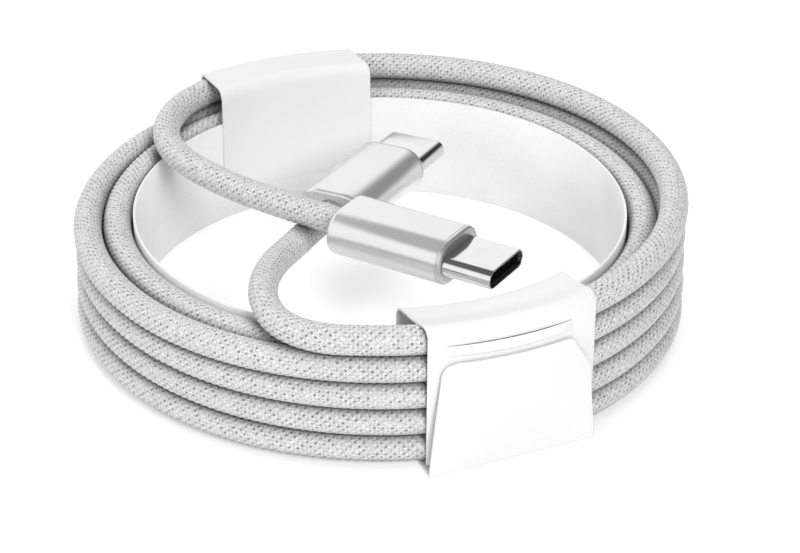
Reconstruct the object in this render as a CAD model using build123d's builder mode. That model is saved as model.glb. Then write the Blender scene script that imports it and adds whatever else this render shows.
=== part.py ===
"""Braided charging cable, wound into a flat ring and held by two folded paper wraps.

The frame: the ring lies flat on z = 0, its axis is Z, and the front wrap is towards -Y.
Each sub-part is one STEP file in parts/, named after the sub-part.
"""
from build123d import *

import os
from math import asin, cos, degrees, pi, radians, sin, tan

os.makedirs("parts", exist_ok=True)

# ---- driving dimensions, mm -------------------------------------------------------------
SLIP = 0.02             # clearance between surfaces that touch

# cord
CORD = 3.4              # diameter over the braid
OUTER_TURN = 35.15      # radius of the outer column's centre line
LEVELS = 4              # full turns in each of the two columns
TAIL_START = 124        # where the top turn leaves the ring for the upper plug, degrees
TAIL_END = -93          # where the top turn leaves the ring for the lower plug, degrees

# paper
PAPER = 0.3             # thickness of the card
WRAP_WIDTH = 20.4
FRONT_WRAP = -66        # azimuth of each wrap's middle, degrees
REAR_WRAP = 113
BAND_LOW, BAND_HIGH = 0.9, 13.65
INNER_PANEL_LOW = 3.3
OUTER_PANEL_LOW = 0.6
FLANGE_HIGH = 9.0
SLIT_LOW, SLIT_HIGH = 14.8, 16.2
SLIT_LENGTH, SLIT_GAP = 15.0, 0.15
TONGUE_FOOT, TONGUE_TIP = 19.8, 15.2     # widths of the tongue at its fold and at its tip
TONGUE_HIGH = 14.1
TONGUE_STANDOFF = 0.15  # room between the tongue and the panel that it lies on

# plug
BODY_WIDTH, BODY_THICK, BODY_LENGTH = 9.3, 5.6, 14.6
REAR_WALL, BODY_WALL = 1.6, 0.4
COLLAR_LENGTH = 0.6
SHELL_WIDTH, SHELL_THICK, SHELL_WALL = 8.25, 2.4, 0.2
SHELL_OUT = 6.2         # how far the shell stands out of the collar
SHELL_REAR = 9.0
CAVITY_WIDTH, CAVITY_THICK, CAVITY_REAR = 7.1, 1.5, 15.6
CONTACTS, CONTACT_PITCH = 12, 0.5
CONTACT_WIDTH, CONTACT_THICK, CONTACT_LENGTH = 0.25, 0.16, 4.8
SPRING_TRAVEL = 0.15    # how far the contacts and the latches give way in a socket
BOARD_WIDTH, BOARD_THICK, BOARD_LENGTH = 6.6, 0.8, 4.9
CAN_WALL = 0.15

# ---- sizes that follow ---------------------------------------------------------------------
INNER_TURN = OUTER_TURN - CORD
RING_OUT = OUTER_TURN + CORD / 2
RING_IN = INNER_TURN - CORD / 2
RING_BASE = PAPER + SLIP
RING_TOP = RING_BASE + LEVELS * CORD
TOP_TURN = RING_TOP + CORD / 2 + 0.03    # height of the fifth level's centre line
FLANGE_OUT = RING_IN - SLIP
BAND_OUT = FLANGE_OUT - PAPER - SLIP
INNER_PANEL = BAND_OUT - PAPER - SLIP
OUTER_PANEL = RING_OUT + 0.1
TONGUE_IN = OUTER_PANEL + PAPER + TONGUE_STANDOFF
CREASE = TONGUE_IN - 0.1     # the base strap's outer edge, where the tongue's fold begins
COLLAR_FRONT = BODY_LENGTH + SLIP + COLLAR_LENGTH
MOUTH = COLLAR_FRONT + SHELL_OUT


def on_ring(angle: float) -> tuple:
    """A point on the top turn's centre line."""
    return (OUTER_TURN * cos(radians(angle)), OUTER_TURN * sin(radians(angle)), TOP_TURN)


def plug_seat(rear: tuple, yaw: float, roll: float) -> Plane:
    """A plug's own plane: origin at its rear face, z towards its mouth, x across, y up."""
    axis = Vector(cos(radians(yaw)), sin(radians(yaw)), 0)
    across = Vector(-sin(radians(yaw)), cos(radians(yaw)), 0).rotate(Axis((0, 0, 0), axis), roll)
    return Plane(origin=rear, x_dir=across, z_dir=axis)


UPPER_REAR = (-4.05, -8.56, TOP_TURN)
LOWER_REAR = (-6.0, 0.47, 12.1)
SEATS = {
    "upper_plug": plug_seat(UPPER_REAR, -30.4, -2.0),
    "lower_plug": plug_seat(LOWER_REAR, 60.4, -3.2),
}

# The two free stretches of the cord, point by point, from the ring to the plug.
UPPER_ROUTE = [
    on_ring(TAIL_START),
    (-22.31, 27.35, TOP_TURN),
    (-25.6, 22.9, TOP_TURN),
    (-27.2, 17.0, TOP_TURN),
    (-26.2, 10.5, TOP_TURN),
    (-21.5, 3.8, TOP_TURN),
    (-12.93, -3.35, TOP_TURN),
    UPPER_REAR,
]
LOWER_ROUTE = [
    on_ring(TAIL_END),
    (-6.6, -34.85, TOP_TURN),
    (-11.0, -32.0, TOP_TURN),
    (-13.0, -27.0, TOP_TURN),
    (-13.2, -20.8, 14.9),
    (-12.2, -14.2, 13.6),
    (-10.3, -8.2, 12.3),
    (-8.2, -3.4, 12.1),
    LOWER_REAR,
]


def save(part: Part, name: str) -> None:
    """Label a finished piece and write it."""
    part.label = name
    export_step(part, f"parts/{name}.step")


def corner_radii(route: list) -> list:
    """The largest arc that each corner of a route has room for."""
    points = [Vector(*p) for p in route]
    radii = []
    for before, here, after in zip(points, points[1:], points[2:]):
        turn = (here - before).get_angle(after - here)
        shorter = min((here - before).length, (after - here).length)
        radii.append(0.45 * shorter / tan(radians(turn / 2)))
    return radii


# ---- the cord ------------------------------------------------------------------------------
def cord_tail(route: list, name: str) -> None:
    """A tube along one free stretch of the cord."""
    radii = corner_radii(route)
    print(name, "radii", [round(r, 1) for r in radii])
    with BuildPart() as tail:
        with BuildLine():
            path = FilletPolyline(*route, radius=radii)
        with BuildSketch(Plane(origin=path @ 0, z_dir=path % 0)):
            Circle(CORD / 2)
        sweep(path=path)
    section = pi * CORD**2 / 4
    print(name, "length", round(path.length, 1),
          "volume over section", round(tail.part.volume / section, 1))
    save(tail.part, name)


with BuildPart() as cord_coil:
    with BuildSketch(Plane.XZ) as columns:
        with Locations((RING_IN, RING_BASE)):
            Rectangle(2 * CORD, RING_TOP - RING_BASE, align=(Align.MIN, Align.MIN))
        fillet(columns.vertices(), 1.2)
    revolve(axis=Axis.Z)
    with BuildSketch(Plane.XZ.rotated((0, 0, TAIL_END))):
        with Locations((OUTER_TURN, TOP_TURN)):
            Circle(CORD / 2)
            Rectangle(CORD, CORD, align=(Align.CENTER, Align.MAX))
    revolve(axis=Axis.Z, revolution_arc=TAIL_START - TAIL_END)
save(cord_coil.part, "cord_coil")

cord_tail(UPPER_ROUTE, "cord_tail_upper")
cord_tail(LOWER_ROUTE, "cord_tail_lower")


# ---- the paper -----------------------------------------------------------------------------
with BuildPart() as ring_band:
    with BuildSketch(Plane.XY.offset(BAND_LOW)):
        Circle(BAND_OUT)
        Circle(BAND_OUT - PAPER, mode=Mode.SUBTRACT)
    extrude(amount=BAND_HIGH - BAND_LOW)
save(ring_band.part, "ring_band")


def wrap_slab(azimuth: float, height: float = 60.0) -> None:
    """Keep only what lies within a wrap's width, out along its azimuth."""
    with BuildSketch(Plane.XY.offset(-height / 2).rotated((0, 0, azimuth)), mode=Mode.PRIVATE) as slab:
        with Locations((RING_IN, 0)):
            Rectangle(2 * CORD + 20, WRAP_WIDTH)
    extrude(slab.sketch, amount=height, mode=Mode.INTERSECT)


def top_strap(azimuth: float, crease: float, name: str) -> None:
    """The strap over the top of the ring: inner panel, top panel and slit outer panel."""
    edge = OUTER_PANEL + PAPER
    bend = [
        (INNER_PANEL - PAPER, INNER_PANEL_LOW),
        (INNER_PANEL - PAPER, crease),
        (edge, TOP_TURN + CORD / 2 + PAPER + 0.5),
        (edge, OUTER_PANEL_LOW),
    ]
    with BuildPart() as strap:
        with BuildSketch(Plane.XZ):
            with BuildLine() as outline:
                FilletPolyline(*bend, radius=[0.4, 2.0])
                offset(amount=PAPER, side=Side.RIGHT)
            make_face()
        revolve(axis=Axis.Z)
        wrap_slab(azimuth)
        for height in (SLIT_LOW, SLIT_HIGH):
            with BuildSketch(Plane.XY.offset(height - SLIT_GAP / 2).rotated((0, 0, azimuth))):
                with Locations((RING_OUT - 2, 0)):
                    Rectangle(5, SLIT_LENGTH, align=(Align.MIN, Align.CENTER))
            extrude(amount=SLIT_GAP, mode=Mode.SUBTRACT)
    save(strap.part, name)


def base_strap(azimuth: float, name: str) -> None:
    """The strap under the ring, with the flange that stands between the band and the cord."""
    with BuildPart() as strap:
        with BuildSketch(Plane.XY) as flange:
            Circle(FLANGE_OUT)
            Circle(FLANGE_OUT - PAPER, mode=Mode.SUBTRACT)
        extrude(amount=FLANGE_HIGH)
        wrap_slab(azimuth)
        with BuildSketch(Plane.XY.rotated((0, 0, azimuth))):
            Rectangle(CREASE, WRAP_WIDTH, align=(Align.MIN, Align.CENTER))
            Circle(FLANGE_OUT - PAPER / 2, mode=Mode.SUBTRACT)
        extrude(amount=PAPER)
    save(strap.part, name)


def tongue(azimuth: float, name: str) -> None:
    """The tongue: it folds up from a straight crease and curves to the ring towards its tip."""
    reach = degrees(asin(TONGUE_FOOT / 2 / TONGUE_IN))
    foot, tip = TONGUE_FOOT / 2, TONGUE_TIP / 2
    side = [(foot, 0), (foot, 0.1 * TONGUE_HIGH), (tip + 0.8, 0.85 * TONGUE_HIGH), (tip, TONGUE_HIGH)]
    with BuildPart() as flap:
        with BuildSketch(Plane.XY.rotated((0, 0, azimuth))):
            with Locations((TONGUE_IN, 0)):
                Rectangle(PAPER, TONGUE_FOOT, align=(Align.MIN, Align.CENTER))
        with BuildSketch(Plane.XY.offset(TONGUE_HIGH).rotated((0, 0, azimuth))):
            with BuildLine():
                near = CenterArc((0, 0), TONGUE_IN, -reach, 2 * reach)
                far = CenterArc((0, 0), TONGUE_IN + PAPER, -reach, 2 * reach)
                Line(near @ 0, far @ 0)
                Line(near @ 1, far @ 1)
            make_face()
        loft(ruled=True)
        with BuildSketch(Plane.YZ.rotated((0, 0, azimuth)), mode=Mode.PRIVATE) as shape:
            with BuildLine():
                Polyline(*side, *[(-y, z) for y, z in reversed(side)], close=True)
            make_face()
            fillet(shape.vertices().group_by(Axis.Y)[-1], 1.2)
        extrude(shape.sketch, amount=2 * TONGUE_IN, mode=Mode.INTERSECT)
    save(flap.part, name)


for place, azimuth, crease in (("front", FRONT_WRAP, 16.6), ("rear", REAR_WRAP, 18.1)):
    top_strap(azimuth, crease, f"{place}_top_strap")
    base_strap(azimuth, f"{place}_base_strap")
    tongue(azimuth, f"{place}_tongue")


# ---- the plugs -----------------------------------------------------------------------------
def plug_body(seat: Plane, name: str) -> None:
    """The moulded body, hollow, with a hole for the cord in its rear wall."""
    with BuildPart() as body:
        with BuildSketch(seat):
            SlotOverall(BODY_WIDTH, BODY_THICK)
        extrude(amount=BODY_LENGTH)
        ends = body.edges().filter_by(lambda e: abs(seat.to_local_coords(e.center()).Z) < 0.01)
        fillet(ends, 0.6)
        front = body.edges().filter_by(
            lambda e: abs(seat.to_local_coords(e.center()).Z - BODY_LENGTH) < 0.01)
        fillet(front, 0.2)
        with BuildSketch(seat.offset(REAR_WALL)):
            SlotOverall(BODY_WIDTH - 2 * BODY_WALL, BODY_THICK - 2 * BODY_WALL)
        extrude(amount=BODY_LENGTH, mode=Mode.SUBTRACT)
        with BuildSketch(seat):
            Circle(CORD / 2 + SLIP)
        extrude(amount=REAR_WALL, mode=Mode.SUBTRACT)
    save(body.part, name)


def plug_collar(seat: Plane, name: str) -> None:
    """The front cap that closes the body round the shell."""
    inside = (BODY_WIDTH - 2 * BODY_WALL - 2 * SLIP, BODY_THICK - 2 * BODY_WALL - 2 * SLIP)
    with BuildPart() as collar:
        with BuildSketch(seat.offset(BODY_LENGTH + SLIP)):
            SlotOverall(BODY_WIDTH - 0.4, BODY_THICK - 0.4)
        extrude(amount=COLLAR_LENGTH)
        rim = collar.edges().filter_by(
            lambda e: abs(seat.to_local_coords(e.center()).Z - COLLAR_FRONT) < 0.01)
        fillet(rim, 0.3)
        with BuildSketch(seat.offset(BODY_LENGTH - 1.4)):
            SlotOverall(*inside)
        extrude(amount=1.5)
        with BuildSketch(seat.offset(BODY_LENGTH - 1.4)):
            SlotOverall(SHELL_WIDTH + 2 * SLIP, SHELL_THICK + 2 * SLIP)
        extrude(amount=3, mode=Mode.SUBTRACT)
    save(collar.part, name)


def plug_shell(seat: Plane, name: str) -> None:
    """The drawn steel shell."""
    with BuildPart() as shell:
        with BuildSketch(seat.offset(SHELL_REAR)):
            SlotOverall(SHELL_WIDTH, SHELL_THICK)
            SlotOverall(SHELL_WIDTH - 2 * SHELL_WALL, SHELL_THICK - 2 * SHELL_WALL, mode=Mode.SUBTRACT)
        extrude(amount=MOUTH - SHELL_REAR)
        lip = shell.edges().filter_by(lambda e: abs(seat.to_local_coords(e.center()).Z - MOUTH) < 0.01)
        fillet(lip, 0.08)
    save(shell.part, name)


def plug_insulator(seat: Plane, name: str) -> None:
    """The black moulding inside the shell: cavity, plate slot and pockets for the springs."""
    front = MOUTH - 0.4
    with BuildPart() as insulator:
        with BuildSketch(seat.offset(SHELL_REAR + 0.5)):
            SlotOverall(SHELL_WIDTH - 2 * SHELL_WALL - 2 * SLIP, SHELL_THICK - 2 * SHELL_WALL - 2 * SLIP)
        extrude(amount=front - SHELL_REAR - 0.5)
        with BuildSketch(seat.offset(CAVITY_REAR)):
            Rectangle(CAVITY_WIDTH, CAVITY_THICK)
        extrude(amount=MOUTH - CAVITY_REAR, mode=Mode.SUBTRACT)
        with BuildSketch(seat.offset(SHELL_REAR)):
            Rectangle(6.44, 0.24)
        extrude(amount=CAVITY_REAR - SHELL_REAR + 0.1, mode=Mode.SUBTRACT)
        with BuildSketch(seat.offset(17.6)):
            with Locations((0, 1), (0, -1)):
                Rectangle(5.0, 0.3)
        extrude(amount=3.4, mode=Mode.SUBTRACT)
    save(insulator.part, name)


def plug_contacts(seat: Plane, side: int, name: str) -> None:
    """One row of spring contacts in the cavity."""
    middle = side * (CAVITY_THICK / 2 - SPRING_TRAVEL - 0.05 - CONTACT_THICK / 2)
    with BuildPart() as contacts:
        with BuildSketch(seat.offset(CAVITY_REAR + 0.1)):
            with Locations((0, middle)):
                with GridLocations(CONTACT_PITCH, 0, CONTACTS, 1):
                    Rectangle(CONTACT_WIDTH, CONTACT_THICK)
        extrude(amount=CONTACT_LENGTH)
    save(contacts.part, name)


def plug_latch(seat: Plane, side: int, name: str) -> None:
    """One side latch spring, with the hook near the mouth that holds the plug in."""
    outer = side * (CAVITY_WIDTH / 2 - SPRING_TRAVEL - 0.05)
    inner = outer - side * 0.15
    with BuildPart() as latch:
        with BuildSketch(Plane(origin=seat.origin, x_dir=seat.x_dir, z_dir=-seat.y_dir)):
            with BuildLine():
                Polyline((inner, 15.8), (inner, 19.4), (inner - side * 0.16, 19.8), (inner, 20.2),
                         (inner, 20.6), (outer, 20.6), (outer, 15.8), close=True)
            make_face()
        extrude(amount=0.3, both=True)
    save(latch.part, name)


def plug_ground_springs(seat: Plane, name: str) -> None:
    """The two ground springs, each a thin plate with three fingers, above and below the cavity."""
    with BuildPart() as springs:
        for height in (0.92, -0.92):
            with BuildSketch(seat.offset(17.7)):
                with Locations((0, height)):
                    Rectangle(4.8, 0.1)
            extrude(amount=0.8)
            with BuildSketch(seat.offset(18.5)):
                with Locations((0, height)):
                    with GridLocations(1.6, 0, 3, 1):
                        Rectangle(0.9, 0.1)
            extrude(amount=2.0)
    save(springs.part, name)


def plug_mid_plate(seat: Plane, name: str) -> None:
    """The steel plate between the two rows of contacts."""
    with BuildPart() as plate:
        with BuildSketch(seat.offset(SHELL_REAR)):
            Rectangle(6.4, 0.2)
        extrude(amount=CAVITY_REAR - SHELL_REAR)
    save(plate.part, name)


def plug_solder_tails(seat: Plane, name: str) -> None:
    """The ends of the contacts, soldered to both faces of the board."""
    reach = BOARD_THICK / 2 + SLIP + 0.08
    with BuildPart() as tails:
        with BuildSketch(seat.offset(8.0)):
            with Locations((0, reach), (0, -reach)):
                with GridLocations(CONTACT_PITCH, 0, CONTACTS, 1):
                    Rectangle(CONTACT_WIDTH, 0.16)
        extrude(amount=SHELL_REAR + 0.48 - 8.0)
    save(tails.part, name)


def plug_board(seat: Plane, name: str) -> None:
    """The small circuit board between the conductors and the contacts."""
    with BuildPart() as board:
        with BuildSketch(seat.offset(3.9)):
            Rectangle(BOARD_WIDTH, BOARD_THICK)
        extrude(amount=BOARD_LENGTH)
    save(board.part, name)


def plug_board_parts(seat: Plane, name: str) -> None:
    """The cable's marker chip and the small parts round it."""
    face = BOARD_THICK / 2 + SLIP
    with BuildPart() as parts:
        with BuildSketch(seat.offset(5.6)):
            with Locations((0.6, face)):
                Rectangle(2.0, 0.7, align=(Align.CENTER, Align.MIN))
            with Locations((-0.9, -face)):
                Rectangle(1.4, 0.5, align=(Align.CENTER, Align.MAX))
        extrude(amount=1.8)
        with BuildSketch(seat.offset(5.8)):
            with Locations((-1.5, face), (2.6, face)):
                Rectangle(0.5, 0.35, align=(Align.CENTER, Align.MIN))
            with Locations((1.6, -face), (2.5, -face)):
                Rectangle(0.5, 0.35, align=(Align.CENTER, Align.MAX))
        extrude(amount=1.0)
    save(parts.part, name)


def plug_shield_can(seat: Plane, name: str) -> None:
    """The folded steel can round the board."""
    width, thick = BODY_WIDTH - 2 * BODY_WALL - 0.1, BODY_THICK - 2 * BODY_WALL - 0.1
    with BuildPart() as can:
        with BuildSketch(seat.offset(2.2)):
            SlotOverall(width, thick)
            SlotOverall(width - 2 * CAN_WALL, thick - 2 * CAN_WALL, mode=Mode.SUBTRACT)
        extrude(amount=SHELL_REAR - 0.05 - 2.2)
    save(can.part, name)


def plug_crimp_ferrule(seat: Plane, name: str) -> None:
    """The ring crimped on the end of the braid, inside the body."""
    with BuildPart() as ferrule:
        with BuildSketch(seat.offset(REAR_WALL + SLIP)):
            Circle(CORD / 2 + 0.25)
            Circle(CORD / 2 + SLIP, mode=Mode.SUBTRACT)
        extrude(amount=1.4)
    save(ferrule.part, name)


def plug_conductors(seat: Plane, name: str) -> None:
    """The cord's own end inside the plug, and four conductors from it to the board."""
    with BuildPart() as conductors:
        with BuildSketch(seat.offset(SLIP)):
            Circle(CORD / 2)
        extrude(amount=3.2)
        with BuildSketch(seat.offset(3.0)):
            with GridLocations(1.0, 1.4, 2, 2):
                Circle(0.24)
        extrude(amount=2.0)
    save(conductors.part, name)


for plug, seat in SEATS.items():
    plug_body(seat, f"{plug}_body")
    plug_collar(seat, f"{plug}_collar")
    plug_shell(seat, f"{plug}_shell")
    plug_insulator(seat, f"{plug}_insulator")
    plug_contacts(seat, 1, f"{plug}_top_contacts")
    plug_contacts(seat, -1, f"{plug}_bottom_contacts")
    plug_latch(seat, 1, f"{plug}_left_latch")
    plug_latch(seat, -1, f"{plug}_right_latch")
    plug_ground_springs(seat, f"{plug}_ground_springs")
    plug_mid_plate(seat, f"{plug}_mid_plate")
    plug_solder_tails(seat, f"{plug}_solder_tails")
    plug_board(seat, f"{plug}_board")
    plug_board_parts(seat, f"{plug}_board_parts")
    plug_shield_can(seat, f"{plug}_shield_can")
    plug_crimp_ferrule(seat, f"{plug}_crimp_ferrule")
    plug_conductors(seat, f"{plug}_conductors")
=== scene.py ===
"""Braided charging cable: a cord wound into a flat ring, two small plugs and two folded paper wraps.

The camera and the cord are made first, then the plugs, the paper and the studio. Everything is in metres, in
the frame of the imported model: the ring lies on z = 0, its axis is Z, and the front wrap is towards -Y.
Sizes in the classes are in millimetres, as a maker would write them, and mm() turns them to metres.
"""

import logging
from dataclasses import dataclass
from enum import Enum
from math import cos, hypot, pi, radians, sin, sqrt

import bpy
import numpy as np
from mathutils import Matrix, Vector


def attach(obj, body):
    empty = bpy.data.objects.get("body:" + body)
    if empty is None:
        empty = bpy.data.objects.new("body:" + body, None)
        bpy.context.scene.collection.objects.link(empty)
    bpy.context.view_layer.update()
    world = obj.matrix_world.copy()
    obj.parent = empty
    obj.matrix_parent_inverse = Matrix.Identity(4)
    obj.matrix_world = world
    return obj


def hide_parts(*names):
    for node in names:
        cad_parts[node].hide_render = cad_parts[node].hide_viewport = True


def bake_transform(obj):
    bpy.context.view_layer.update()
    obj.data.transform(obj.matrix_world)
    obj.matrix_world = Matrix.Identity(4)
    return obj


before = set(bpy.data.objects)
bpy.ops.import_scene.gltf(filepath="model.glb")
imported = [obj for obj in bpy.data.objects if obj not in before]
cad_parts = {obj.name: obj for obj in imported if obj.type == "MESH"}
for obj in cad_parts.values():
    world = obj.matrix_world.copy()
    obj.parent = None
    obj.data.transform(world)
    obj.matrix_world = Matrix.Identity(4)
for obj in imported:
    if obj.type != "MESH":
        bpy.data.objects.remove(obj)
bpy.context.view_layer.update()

logging.basicConfig(level=logging.INFO, format="%(message)s")
log = logging.getLogger("charging_cable")

Point = tuple[float, float, float]
WHITE = (1.0, 1.0, 1.0, 1.0)


class Wrap(Enum):
    """The two paper wraps, by the azimuth of each one's middle in degrees."""

    FRONT = -66.0
    REAR = 113.0


class Slot(Enum):
    """The record's material slots, one for each finish of the new pieces."""

    BRAID = "cord_braid"
    WRAP = "wrap_card"
    BAND = "band_card"
    MOULDING = "plug_moulding"
    COLLAR = "plug_collar"
    STEEL = "plug_steel"


# ---- helpers ---------------------------------------------------------------------------------
def mm(value: float) -> float:
    """Millimetres to metres."""
    return value / 1000.0


def mm_point(point: Point) -> Vector:
    """A point in millimetres, as a vector in metres."""
    return Vector(point) / 1000.0


def smooth(value: float) -> float:
    """0 to 1, with level ends."""
    value = min(max(value, 0.0), 1.0)
    return value * value * (3.0 - 2.0 * value)


def arc(x: float, y: float, radius: float, start: float, end: float, steps: int) -> list[tuple[float, float]]:
    """Points along an arc.

    Args:
        x: The centre, in the section's own plane.
        y: The same.
        radius: Of the arc.
        start: The first point's angle in radians.
        end: The last point's.
        steps: How many stretches there are between them.

    Returns:
        One point more than the steps.
    """
    angles = [start + (end - start) * n / steps for n in range(steps + 1)]
    return [(x + radius * cos(angle), y + radius * sin(angle)) for angle in angles]


def colour(hex_code: str) -> tuple[float, float, float, float]:
    """An sRGB hex colour as linear RGBA.

    Args:
        hex_code: Six hex digits, with or without a leading hash.

    Returns:
        The linear colour, with alpha 1.
    """
    digits = hex_code.lstrip("#")
    parts = [int(digits[i:i + 2], 16) / 255.0 for i in (0, 2, 4)]
    linear = [c / 12.92 if c <= 0.04045 else ((c + 0.055) / 1.055) ** 2.4 for c in parts]
    return (*linear, 1.0)


def set_inputs(node: bpy.types.Node, inputs: dict[str | int, object]) -> None:
    """Fill a node's inputs.

    Args:
        node: The node.
        inputs: By an input's name or number, its value, a socket to link, or a node to link its first output.
    """
    for name, value in inputs.items():
        if isinstance(value, bpy.types.Node):
            value = value.outputs[0]
        if isinstance(value, bpy.types.NodeSocket):
            node.id_data.links.new(value, node.inputs[name])
        else:
            node.inputs[name].default_value = value


def add_node(
    tree: bpy.types.NodeTree, kind: str, inputs: dict[str | int, object] | None = None, **settings: object
) -> bpy.types.Node:
    """Add one node to a tree.

    Args:
        tree: The tree that it goes in.
        kind: The node's type after "ShaderNode", such as "TexNoise".
        inputs: What goes in its inputs, as in set_inputs.
        settings: The node's own settings, by name.

    Returns:
        The new node.
    """
    node = tree.nodes.new(f"ShaderNode{kind}")
    for name, value in settings.items():
        setattr(node, name, value)
    set_inputs(node, inputs or {})
    return node


def new_material(name: str) -> tuple[bpy.types.Material, bpy.types.NodeTree, bpy.types.Node]:
    """Start a material.

    Args:
        name: What the real material is.

    Returns:
        The material, its tree and its shader.
    """
    material = bpy.data.materials.new(name)
    material.use_nodes = True
    return material, material.node_tree, material.node_tree.nodes["Principled BSDF"]


def add_mesh(name: str, vertices: list, faces: list, smooth_faces: bool = True) -> bpy.types.Object:
    """Make a mesh object and put it in the scene.

    Args:
        name: The piece's name.
        vertices: Points in metres.
        faces: Tuples of vertex numbers.
        smooth_faces: Whether the faces are shaded smooth.

    Returns:
        The new object.
    """
    mesh = bpy.data.meshes.new(name)
    mesh.from_pydata([tuple(v) for v in vertices], [], faces)
    mesh.validate()
    mesh.polygons.foreach_set("use_smooth", [smooth_faces] * len(mesh.polygons))
    mesh.update()
    piece = bpy.data.objects.new(name, mesh)
    bpy.context.scene.collection.objects.link(piece)
    return piece


def tube_faces(rings: int, sides: int, closed: bool) -> list[tuple[int, ...]]:
    """Faces from each ring of points to the next.

    Args:
        rings: How many rings there are.
        sides: How many points each of them has.
        closed: Whether the last ring joins the first.

    Returns:
        Tuples of vertex numbers.
    """
    faces = []
    for n in range(rings if closed else rings - 1):
        here, there = n * sides, (n + 1) % rings * sides
        for k in range(sides):
            beside = (k + 1) % sides
            faces.append((here + k, here + beside, there + beside, there + k))
    return faces


def apply_modifiers(piece: bpy.types.Object) -> None:
    """Turn a piece's modifiers into its own mesh."""
    graph = bpy.context.evaluated_depsgraph_get()
    finished = bpy.data.meshes.new_from_object(piece.evaluated_get(graph))
    piece.modifiers.clear()
    piece.data = finished


def dress(piece: bpy.types.Object, material: bpy.types.Material) -> None:
    """Give a piece one material."""
    piece.data.materials.clear()
    piece.data.materials.append(material)


def place(piece: bpy.types.Object, body: str, slot: Slot, *nodes: str) -> None:
    """Ride a piece on a body, hide the CAD nodes that it stands for, and report its faces."""
    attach(piece, body)
    if nodes:
        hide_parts(*nodes)
    log.info("%s: %d faces, rides on %s", piece.name, len(piece.data.polygons), body)


# ---- finishes --------------------------------------------------------------------------------
@dataclass(frozen=True)
class BraidedPolyester:
    """Polyester yarn, machine braided: matt, white strands with grey ones as fine specks, and painted shade in
    the grooves.
    """

    white: str = "#E8E8E6"
    shade: str = "#A6A7A5"
    grey: str = "#6A6C6C"
    fibre: float = 0.16         # mm, the bundles of filament that show
    least: float = 0.12         # how much grey the palest dive shows
    edge: float = 0.20          # how much grey the strands' edges show
    streak: float = 0.46        # how much the bundles of filament darken the yarn
    roughness: float = 0.82
    strand: float = 0.12        # mm, how far a strand's bump stands out
    fuzz: float = 0.04          # mm, how far the bundles' bump stands out
    groove_shade: float = 2.0         # mm, how far off another turn the painted shade in the grooves still reaches
    groove_shade_least: float = 0.26     # share of the colour left where two turns touch, as painted shade

    def make(self) -> bpy.types.Material:
        """Build the material. A unit of its UV is half a diamond, along the cord and round it."""
        material, tree, shader = new_material("braided_polyester_groove_shade")
        weave = add_node(tree, "SeparateXYZ", {"Vector": add_node(tree, "UVMap")})
        along, around = weave.outputs[0], weave.outputs[1]

        # A strand crosses over at every even corner of the UV's squares and dives at every odd one.
        angles = [add_node(tree, "Math", {0: way, 1: pi}, operation="MULTIPLY") for way in (along, around)]
        waves = [add_node(tree, "Math", {0: angle}, operation="COSINE") for angle in angles]
        crest = add_node(tree, "Math", {0: waves[0], 1: waves[1]}, operation="MULTIPLY")
        height = add_node(tree, "Math", {0: crest, 1: 0.5, 2: 0.5}, operation="MULTIPLY_ADD")
        pit = add_node(
            tree, "MapRange", {"Value": height, "From Min": 0.46, "From Max": -0.06},
            interpolation_type="SMOOTHSTEP",
        )

        # The heather: each dive of a strand shows more or less of the grey yarn.
        corner = [add_node(tree, "Math", {0: way}, operation="ROUND") for way in (along, around)]
        dive = add_node(tree, "CombineXYZ", {"X": corner[0], "Y": corner[1]})
        fleck = add_node(tree, "TexWhiteNoise", {"Vector": dive}, noise_dimensions="2D")
        depth = add_node(
            tree, "MapRange", {"Value": fleck.outputs["Value"], "To Min": self.least, "To Max": 1.0},
        )

        # Between the dives, the edges of the strands show as thin slanting lines.
        both = add_node(tree, "Math", {0: along, 1: around}, operation="ADD")
        slant = add_node(tree, "Math", {0: both, 1: pi / 2}, operation="MULTIPLY")
        rising = add_node(tree, "Math", {0: slant}, operation="SINE")
        flat = add_node(tree, "Math", {0: rising}, operation="ABSOLUTE")
        line = add_node(tree, "Math", {0: 1.0, 1: flat}, operation="SUBTRACT")
        edge = add_node(tree, "Math", {0: line, 1: self.edge}, operation="MULTIPLY")
        speck = add_node(tree, "Math", {0: pit, 1: depth, 2: edge}, operation="MULTIPLY_ADD")
        yarn = add_node(tree, "ValToRGB", {"Fac": speck})
        yarn.color_ramp.elements[0].color = colour(self.white)
        yarn.color_ramp.elements[1].color = colour(self.grey)
        yarn.color_ramp.elements.new(0.5).color = colour(self.shade)

        # Filaments lie in bundles that catch the light as short soft streaks.
        position = add_node(tree, "TexCoord")
        fibre = add_node(tree, "TexNoise", {
            "Vector": position.outputs["Object"], "Scale": 1.0 / mm(self.fibre),
            "Detail": 2.0, "Roughness": 0.6,
        })
        bundle = add_node(
            tree, "MapRange", {"Value": fibre.outputs["Fac"], "From Min": 0.36, "From Max": 0.62},
        )
        tint = add_node(
            tree, "Mix", {0: self.streak, 6: yarn, 7: bundle}, data_type="RGBA", blend_type="MULTIPLY",
        )

        # Painted shade: the colour darkens by ambient occlusion where the turns lie close, in the grooves
        # between them.
        groove_shade = add_node(tree, "AmbientOcclusion", {"Distance": mm(self.groove_shade)}, samples=6)
        clear = add_node(tree, "MapRange", {
            "Value": groove_shade.outputs["AO"], "From Min": 0.15, "From Max": 0.85, "To Min": self.groove_shade_least,
        })
        groove_shaded = add_node(
            tree, "Mix", {0: 1.0, 6: tint.outputs[2], 7: clear}, data_type="RGBA", blend_type="MULTIPLY",
        )

        bump = add_node(tree, "Bump", {"Height": height, "Strength": 0.9, "Distance": mm(self.strand)})
        fine = add_node(tree, "Bump", {
            "Height": fibre.outputs["Fac"], "Strength": 0.35, "Distance": mm(self.fuzz), "Normal": bump,
        })
        set_inputs(shader, {
            "Base Color": groove_shaded.outputs[2], "Normal": fine, "Roughness": self.roughness,
            "Sheen Weight": 0.25, "Sheen Roughness": 0.5,
        })
        return material


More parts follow.
